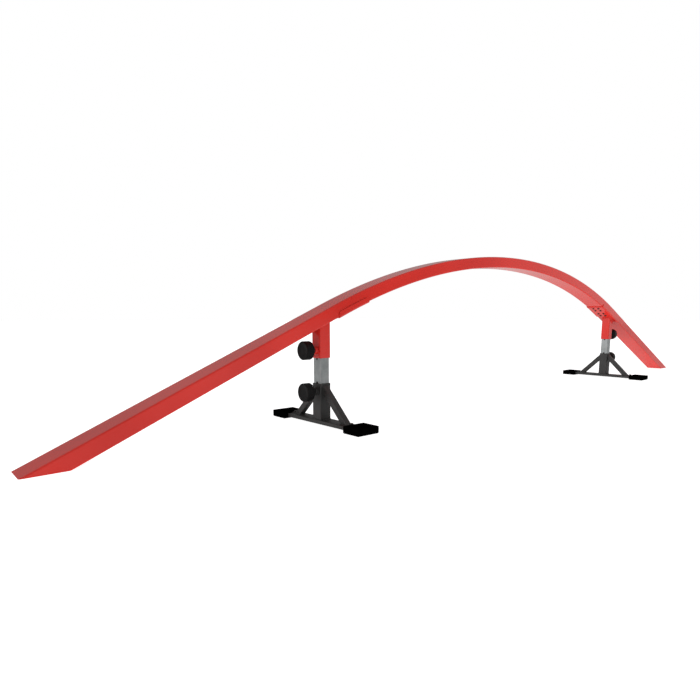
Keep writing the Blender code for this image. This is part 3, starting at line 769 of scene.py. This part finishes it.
def makeClamp(place, side, sign, height):
    body, slot, finish = {"sleeve": ("rail", "red_paint", redPaint),
                          "base": (f"base_{side}", "black_steel", powderCoat)}[place]
    face = leg["middle"] + leg["tube"] / 2 + gap
    bore = clamp["thread"] + clamp["play"]
    radius, length, edge = clamp["bossRadius"], clamp["bossLength"], clamp["bossEdge"]
    profile = [(bore + edge, length), (radius - edge, length),
               (radius - 0.3 * edge, length - 0.3 * edge), (radius, length - edge), (radius, 0.0),
               (bore, 0.0), (bore, length - edge)]
    addPiece(f"{place}Boss_{side}", lathe("boss", profile, 48, joined=True), finish, body,
             [f"{place}_nut_{side}"], placing=outward(sign, face, height))

    start = face + length
    placing = outward(sign, start, height)
    tipAt = leg["middle"] + leg["post"] / 2 + gap - start
    thread, edge, top = clamp["thread"], clamp["screwEdge"], clamp["pastBoss"]
    rings = round((top - tipAt) / clamp["pitch"] * 6)
    profile = [(0.0, top), (thread - edge, top)]
    profile += [(thread, top - edge - (top - tipAt - 2 * edge) * ring / rings)
                for ring in range(rings + 1)]
    profile += [(thread - edge, tipAt), (0.0, tipAt)]
    screw = threads.grow("screw", {
        "Pitch": clamp["pitch"], "Thread Depth": clamp["threadDepth"],
        "Skin Radius": 0.95 * thread, "Material": zincSteel}, lathe("screwBlank", profile, 24))
    addPiece(f"{place}Screw_{side}", screw, zincSteel, f"{place}_screw_{side}",
             [f"{place}_screw_{side}"], angle=60, placing=placing)

    knob = grip.grow("knob", {
        "Rib Count": clamp["ribCount"], "Rib Depth": clamp["ribDepth"], "Fade": clamp["ribFade"],
        "From": knobBack + 0.003, "To": knobFront - clamp["rim"],
        "Skin Radius": 0.97 * clamp["knobRadius"], "Material": knobPlastic},
        lathe("knobBlank", knobProfile(), 6 * clamp["ribCount"]))
    addPiece(f"{place}Knob_{side}", knob, knobPlastic, f"{place}_knob_{side}",
             [f"{place}_knob_{side}"], placing=placing)


knobBack = clamp["knobGap"] + clamp["taper"]
knobFront = knobBack + clamp["head"]


def knobProfile():  # dished face, rounded rim, straight grip, tapered hub, then the screw's bore
    radius, rim, dish, hub = (clamp[key] for key in ("knobRadius", "rim", "dish", "hubRadius"))
    low, high, edge = clamp["knobGap"], knobFront, clamp["backEdge"]
    bore, blind = clamp["thread"] + gap, clamp["pastBoss"] + gap
    profile = [(0.0, high - dish), (radius * 0.30, high - dish),
               (radius * 0.55, high - 0.9 * dish), (radius * 0.68, high - 0.35 * dish),
               (radius - 2.2 * rim, high - 0.0002), (radius - 1.4 * rim, high)]
    for step in range(7):
        turn = math.pi / 2 * step / 6
        profile.append((radius - rim + rim * math.sin(turn), high - rim + rim * math.cos(turn)))
    profile += [(radius, high - rim - (clamp["head"] - rim - edge) * step / 12)
                for step in range(1, 12)]
    profile += [(radius, knobBack + edge), (radius - 0.0006, knobBack + 0.0006),
                (radius - edge, knobBack), (hub + 0.001, low + 0.0016), (hub, low + 0.0009),
                (hub - 0.0008, low), (bore + 0.0006, low), (bore, low + 0.0006), (bore, blind),
                (0.0, blind)]
    return profile


grip = roundRecipe("knobGrip", ["Rib Count", "Rib Depth", "From", "To", "Fade"], ribDepth)
threads = roundRecipe("screwThread", ["Pitch", "Thread Depth"], grooveDepth)
for side, sign in sides.items():
    makeLeg(side, sign)
print("legs and clamps made")

# Bases: a cross bar, two braces bolted to it and rubber feet

barLow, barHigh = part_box("base_bar_b")
base = {"barWidth": 0.050, "barBottom": barLow[2], "barTop": barHigh[2], "barEnd": barHigh[1],
        "barEdge": 0.0015, "braceSize": 0.021, "braceCorner": 0.003, "braceWall": 0.002,
        "braceBelowTop": 0.0056, "braceFoot": 0.135, "tabStart": 0.129, "tabEnd": 0.1505,
        "tab": 0.003, "tabCorner": 0.004, "boltAt": 0.144, "boltRadius": 0.003, "drill": 0.0033,
        "hexAcross": 0.0100, "hexHeight": 0.0033, "washer": 0.0062, "washerHeight": 0.0012,
        "washerEdge": 0.0003}
braceTop = leg["baseTop"] - base["braceBelowTop"]


def plate(name, points, middle, low, high, edge):
    def ring(inset, z):
        return [(middle[0] + x - math.copysign(inset, x),
                 middle[1] + y - math.copysign(inset, y), z) for x, y in points]
    levels = ((edge, low), (0, low + edge), (0, high - edge), (edge, high))
    return skin(name, [ring(inset, z) for inset, z in levels])


def makeBrace(side, sign, label, end):
    topY = leg["tube"] / 2 + gap
    bottom = base["barTop"] + gap
    run, rise = base["braceFoot"] - topY, braceTop - bottom
    along = Vector((run, -rise)).normalized()
    up = Vector((rise, run)).normalized()
    size, corner = base["braceSize"], base["braceCorner"]
    bore, boreCorner = size - 2 * base["braceWall"], corner - base["braceWall"]
    start = Vector((topY, braceTop)) - up * size / 2
    rings = []
    for width, corner, atTop in ((size, corner, True), (bore, boreCorner, True),
                                 (bore, boreCorner, False), (size, corner, False)):
        ring = []
        for across, high in outline(width, width, corner):
            point = start + up * high
            reach = (topY - point.x) / along.x if atTop else (bottom - point.y) / along.y
            point = point + along * reach
            ring.append((sign * leg["middle"] + across, end * point.x, point.y))
        rings.append(ring)
    seat = bottom + base["tab"]
    tab = plate("tab", outline(size, base["tabEnd"] - base["tabStart"], base["tabCorner"]),
                (sign * leg["middle"], end * (base["tabStart"] + base["tabEnd"]) / 2),
                bottom, seat, 0.0004)
    brace = merged("brace", [skin("braceTube", rings, joined=True), tab])
    addPiece(f"baseBrace_{side}_{label}", brace, powderCoat, f"base_{side}",
             [f"base_brace_{side}_{label}"])

    addPiece(f"baseBolt_{side}_{label}", makeBolt(), blackOxide, f"base_{side}",
             [f"base_bolt_{side}_{label}"],
             placing=Matrix.Translation((sign * leg["middle"], end * base["boltAt"], seat)))


def makeBolt():  # its washer's underside at the origin
    corners = base["hexAcross"] / math.sqrt(3)
    sink = 0.001  # the head starts inside the washer
    height = sink + base["hexHeight"]
    head = rod(corners, base["hexHeight"], 6, Matrix.Translation((0, 0, (sink + height) / 2)))
    dome = lathe("dome", [(0.0, height), (corners * 0.80, height),
                          (corners * 1.02, height - 0.0008), (corners * 1.02, 0.0), (0.0, 0.0)], 36)
    radius, thick, edge = base["washer"], base["washerHeight"], base["washerEdge"]
    washer = lathe("washer", [(0.0, thick), (radius - edge, thick), (radius, thick - edge),
                              (radius, edge), (radius - edge, 0.0), (0.0, 0.0)], 36)
    reach = base["barTop"] - base["barBottom"] + base["tab"]
    shank = rod(base["boltRadius"], reach, 20, Matrix.Translation((0, 0, -reach / 2)))
    return merged("bolt", [carved(head, dome, "INTERSECT"), washer, shank])


def makeBar(side, sign):
    middle = sign * leg["middle"]
    bar = block((middle - base["barWidth"] / 2, -base["barEnd"], base["barBottom"]),
                (middle + base["barWidth"] / 2, base["barEnd"], base["barTop"]),
                base["barEdge"], 4)
    drills = [rod(base["drill"], base["barWidth"], 24,
                  Matrix.Translation((middle, end * base["boltAt"], base["barBottom"])))
              for end in ends.values()]
    addPiece(f"crossBar_{side}", carved(bar, merged("drills", drills)), powderCoat, f"base_{side}",
             [f"base_bar_{side}"])


foot = {"inner": 0.1525, "length": 0.083, "width": 0.068, "height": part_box("foot_b_rear")[1][2],
        "edge": 0.0015, "tread": 0.0014, "treadMargin": 0.004, "lug": 0.0042, "lugEdge": 0.0003,
        "lugRowCount": 14, "lugColumnCount": 11}


def treadRecipe():
    recipe = Recipe("footTread", ["Row Count", "Column Count", "Long", "Wide", "Lug Shape",
                                  "Material"])
    grid = recipe.node("GeometryNodeMeshGrid", values={
        "Size X": recipe.get("Long"), "Size Y": recipe.get("Wide"),
        "Vertices X": recipe.get("Row Count"), "Vertices Y": recipe.get("Column Count")})
    recipe.finish(recipe.node("GeometryNodeInstanceOnPoints", values={
        "Points": grid, "Instance": recipe.shape("Lug Shape")}))
    return recipe


def makeFoot(side, sign, label, end):
    middleX = sign * leg["middle"]
    middleY = end * (foot["inner"] + foot["width"] / 2)
    long, wide = foot["length"], foot["width"]
    low = (middleX - long / 2, middleY - wide / 2, foot["tread"])
    high = (middleX + long / 2, middleY + wide / 2, foot["height"])
    inner, outer = sorted((end * (foot["inner"] - 0.01), end * (base["barEnd"] + gap)))
    halfBar = base["barWidth"] / 2 + gap
    pocket = block((middleX - halfBar, inner, base["barBottom"] - gap),
                   (middleX + halfBar, outer, base["barTop"] + gap))
    pad = carved(block(low, high, foot["edge"], 4), pocket)
    lugs = tread.grow("lugs", {
        "Row Count": foot["lugRowCount"], "Column Count": foot["lugColumnCount"],
        "Long": long - 2 * foot["treadMargin"], "Wide": wide - 2 * foot["treadMargin"],
        "Lug Shape": lugShape, "Material": footRubber})
    lugs.transform(Matrix.Translation((middleX, middleY, 0.0)))
    addPiece(f"foot_{side}_{label}", merged("foot", [pad, lugs]), footRubber, f"base_{side}",
             [f"foot_{side}_{label}"])


tread = treadRecipe()
lug = foot["lug"] / 2
lugShape = hiddenShape("lugShape", block((-lug, -lug, 0.0), (lug, lug, foot["tread"] + gap),
                                         foot["lugEdge"], 1))
for side, sign in sides.items():
    makeBar(side, sign)
    for label, end in ends.items():
        makeBrace(side, sign, label, end)
        makeFoot(side, sign, label, end)
print("bases made")

# Weld beads, painted over

weld = {"tubeBead": 0.0019, "braceBead": 0.0014, "bossBead": 0.0013, "ripple": 0.0024,
        "rippleDepth": 0.14, "step": 0.0008, "lift": 0.0002}


def weldRecipe():
    recipe = Recipe("weldBead", ["Geometry", "Bead Radius", "Ripple", "Ripple Depth", "Step",
                                 "Seed", "Material"])
    path = recipe.node("GeometryNodeMeshToCurve", values={"Mesh": recipe.get("Geometry")})
    path = recipe.node("GeometryNodeResampleCurve", {"mode": "LENGTH"},
                       {"Curve": path, "Length": recipe.get("Step")})
    length = recipe.node("GeometryNodeSplineParameter", output="Length")
    ripple = recipe.maths("COSINE", length / recipe.get("Ripple") * (2 * math.pi))
    wander = recipe.node("ShaderNodeTexNoise", {"noise_dimensions": "4D"},
                         {"W": recipe.get("Seed"), "Scale": 160.0})
    swell = ripple * recipe.get("Ripple Depth") + wander * 0.35 + 0.83
    section = recipe.node("GeometryNodeCurvePrimitiveCircle",
                          values={"Resolution": 10, "Radius": 1.0})
    recipe.finish(recipe.node("GeometryNodeCurveToMesh", values={
        "Curve": path, "Profile Curve": section, "Scale": recipe.get("Bead Radius") * swell}))
    return recipe


def beadMesh(name, loops, radius, finish):
    work = bmesh.new()
    for loop in loops:
        points = [work.verts.new(point) for point in loop]
        for first, second in zip(points, points[1:] + points[:1]):
            work.edges.new((first, second))
    return beads.grow(name, {
        "Bead Radius": radius, "Ripple": weld["ripple"], "Ripple Depth": weld["rippleDepth"],
        "Step": weld["step"], "Seed": 11, "Material": finish}, toMesh(work, name))


def bossBead(sign, height, finish):
    radius = clamp["bossRadius"]
    placing = outward(sign, leg["middle"] + leg["tube"] / 2 + 2 * weld["lift"], height)
    ring = [placing @ Vector((radius * math.cos(turn), radius * math.sin(turn), 0))
            for turn in turnsOf(60)]
    return beadMesh("bossBead", [ring], weld["bossBead"], finish)


def makeWelds(side, sign):
    middle = sign * leg["middle"]
    square = outline(leg["tube"], leg["tube"], leg["corner"])
    top = [(middle + x, y, underRail(middle + x) - weld["lift"]) for x, y in square]
    meshes = [beadMesh("topBead", [top], weld["tubeBead"], redPaint),
              bossBead(sign, leg["sleeveBottom"] + leg["knobFromEdge"], redPaint)]
    addPiece(f"sleeveWelds_{side}", merged("welds", meshes), redPaint, "rail", [],
             angle=80)

    seat = base["barTop"] + weld["lift"]
    around = [(middle + x, y, seat) for x, y in square]
    loops = []
    size, corner = base["braceSize"], base["braceCorner"]
    topY = leg["tube"] / 2 + 2 * weld["lift"]
    run, rise = base["braceFoot"] - topY, braceTop - base["barTop"]
    slant = math.hypot(run, rise)
    drop, shift = size * slant / run, size * slant / rise  # the brace's cut at each end
    for end in ends.values():
        loops.append([(middle + x, end * topY, braceTop - drop / 2 + z)
                      for x, z in outline(size, drop, corner)])
        loops.append([(middle + x, end * (base["braceFoot"] - shift / 2 + y), seat)
                      for x, y in outline(size, shift, corner)])
    meshes = [beadMesh("footBead", [around], weld["tubeBead"], powderCoat),
              beadMesh("braceBeads", loops, weld["braceBead"], powderCoat),
              bossBead(sign, leg["baseTop"] - leg["knobFromEdge"], powderCoat)]
    addPiece(f"baseWelds_{side}", merged("welds", meshes), powderCoat, f"base_{side}",
             [], angle=80)


beads = weldRecipe()
for side, sign in sides.items():
    makeWelds(side, sign)
print("welds made")

# The nodes that keep their shape get the same finishes

for side in sides:
    for node, finish in (("ramp_end_plate", redPaint), ("splice_spigot", zincSteel)):
        for place in frame["nodes"][f"{node}_{side}"].material_slots:
            place.material = finish

for helper in (tubeShape, boreShape, channelShape, noShape, screwShape, lugShape):
    bpy.data.objects.remove(helper)
print("frame nodes painted")

# Floor, light and camera

studio = {"floorSize": 60.0, "floor": 0.62, "floorGlow": 0.92, "mirroredGlow": 0.26, "low": 0.07,
          "high": 0.30, "left": 2.40, "right": 1.60, "panel": 8.0, "panelPlace": (-0.5, -2.1, 1.2),
          "panelAim": (0.5, 0.0, 0.2), "panelSize": 1.0}


def makeFloor():
    pale = Finish("paleFloor", {"Specular IOR Level": 0.0, "Roughness": 0.9,
                                "Emission Strength": 1.0})
    cloud = pale.noise(0.9, 2.0) * 0.02 + studio["floor"]
    mirrored = pale.node("ShaderNodeLightPath", output="Is Glossy Ray")
    glow, dim = ((*[studio[key]] * 3, 1) for key in ("floorGlow", "mirroredGlow"))
    glow = pale.blend(mirrored, glow, dim)  # dimmer where the metal mirrors it
    pale.feed(Base_Color=cloud, Emission_Color=glow)
    half, drop = studio["floorSize"] / 2, -0.0005
    mesh = bpy.data.meshes.new("floor")
    mesh.from_pydata([(-half, -half, drop), (half, -half, drop), (half, half, drop),
                      (-half, half, drop)], [], [(0, 1, 2, 3)])
    mesh.materials.append(pale.material)
    floor = bpy.data.objects.new("floor", mesh)
    sceneObjects.link(floor)


def makeWorld():
    world = bpy.data.worlds.new("studio")
    world.use_nodes = True
    bpy.context.scene.world = world
    sky = Graph(world.node_tree)
    x, y, z = sky.parts(sky.node("ShaderNodeTexCoord", output="Generated"))
    left = sky.maths("POWER", sky.maths("MAXIMUM", x * -1.0, 0.0), 4.0)
    right = sky.maths("POWER", sky.maths("MAXIMUM", x, 0.0), 8.0)
    glow = studio["low"] + studio["high"] * sky.step(z, 0.0, 0.4)
    glow = glow + studio["left"] * left + studio["right"] * right
    # the backdrop itself is plain white
    seen = sky.node("ShaderNodeLightPath", output="Is Camera Ray")
    strength = seen + (1.0 - seen) * glow
    sky.tree.links.new(strength.socket, sky.tree.nodes["Background"].inputs["Strength"])
    sky.tree.nodes["Background"].inputs["Color"].default_value = (1.0, 1.0, 1.0, 1)


def makePanel():  # a soft panel in front of the middle, which lights the far leg's inward faces
    panel = bpy.data.lights.new("panel", "AREA")
    panel.size = studio["panelSize"]
    panel.energy = studio["panel"]
    lamp = bpy.data.objects.new("panel", panel)
    sceneObjects.link(lamp)
    lamp.location = studio["panelPlace"]
    aim = Vector(studio["panelAim"]) - lamp.location
    lamp.rotation_euler = aim.to_track_quat("-Z", "Y").to_euler()
    lamp.visible_camera = False
    lamp.visible_glossy = False


view = {"lens": 27.593, "sensor": 36.0, "shift": 0.0661, "place": (-2.0636, -1.3339, 0.3464),
        "aim": (0.65100, 0.74415, -0.14981)}


def makeCamera():
    lens = bpy.data.cameras.new("camera")
    lens.lens = view["lens"]
    lens.sensor_width = view["sensor"]
    lens.shift_y = view["shift"]
    lens.clip_end = 200.0
    camera = bpy.data.objects.new("camera", lens)
    sceneObjects.link(camera)
    camera.location = view["place"]
    camera.rotation_euler = Vector(view["aim"]).to_track_quat("-Z", "Y").to_euler()
    bpy.context.scene.camera = camera


makeFloor()
makeWorld()
makePanel()
makeCamera()
bpy.context.scene.view_settings.view_transform = "Standard"
print("studio made")
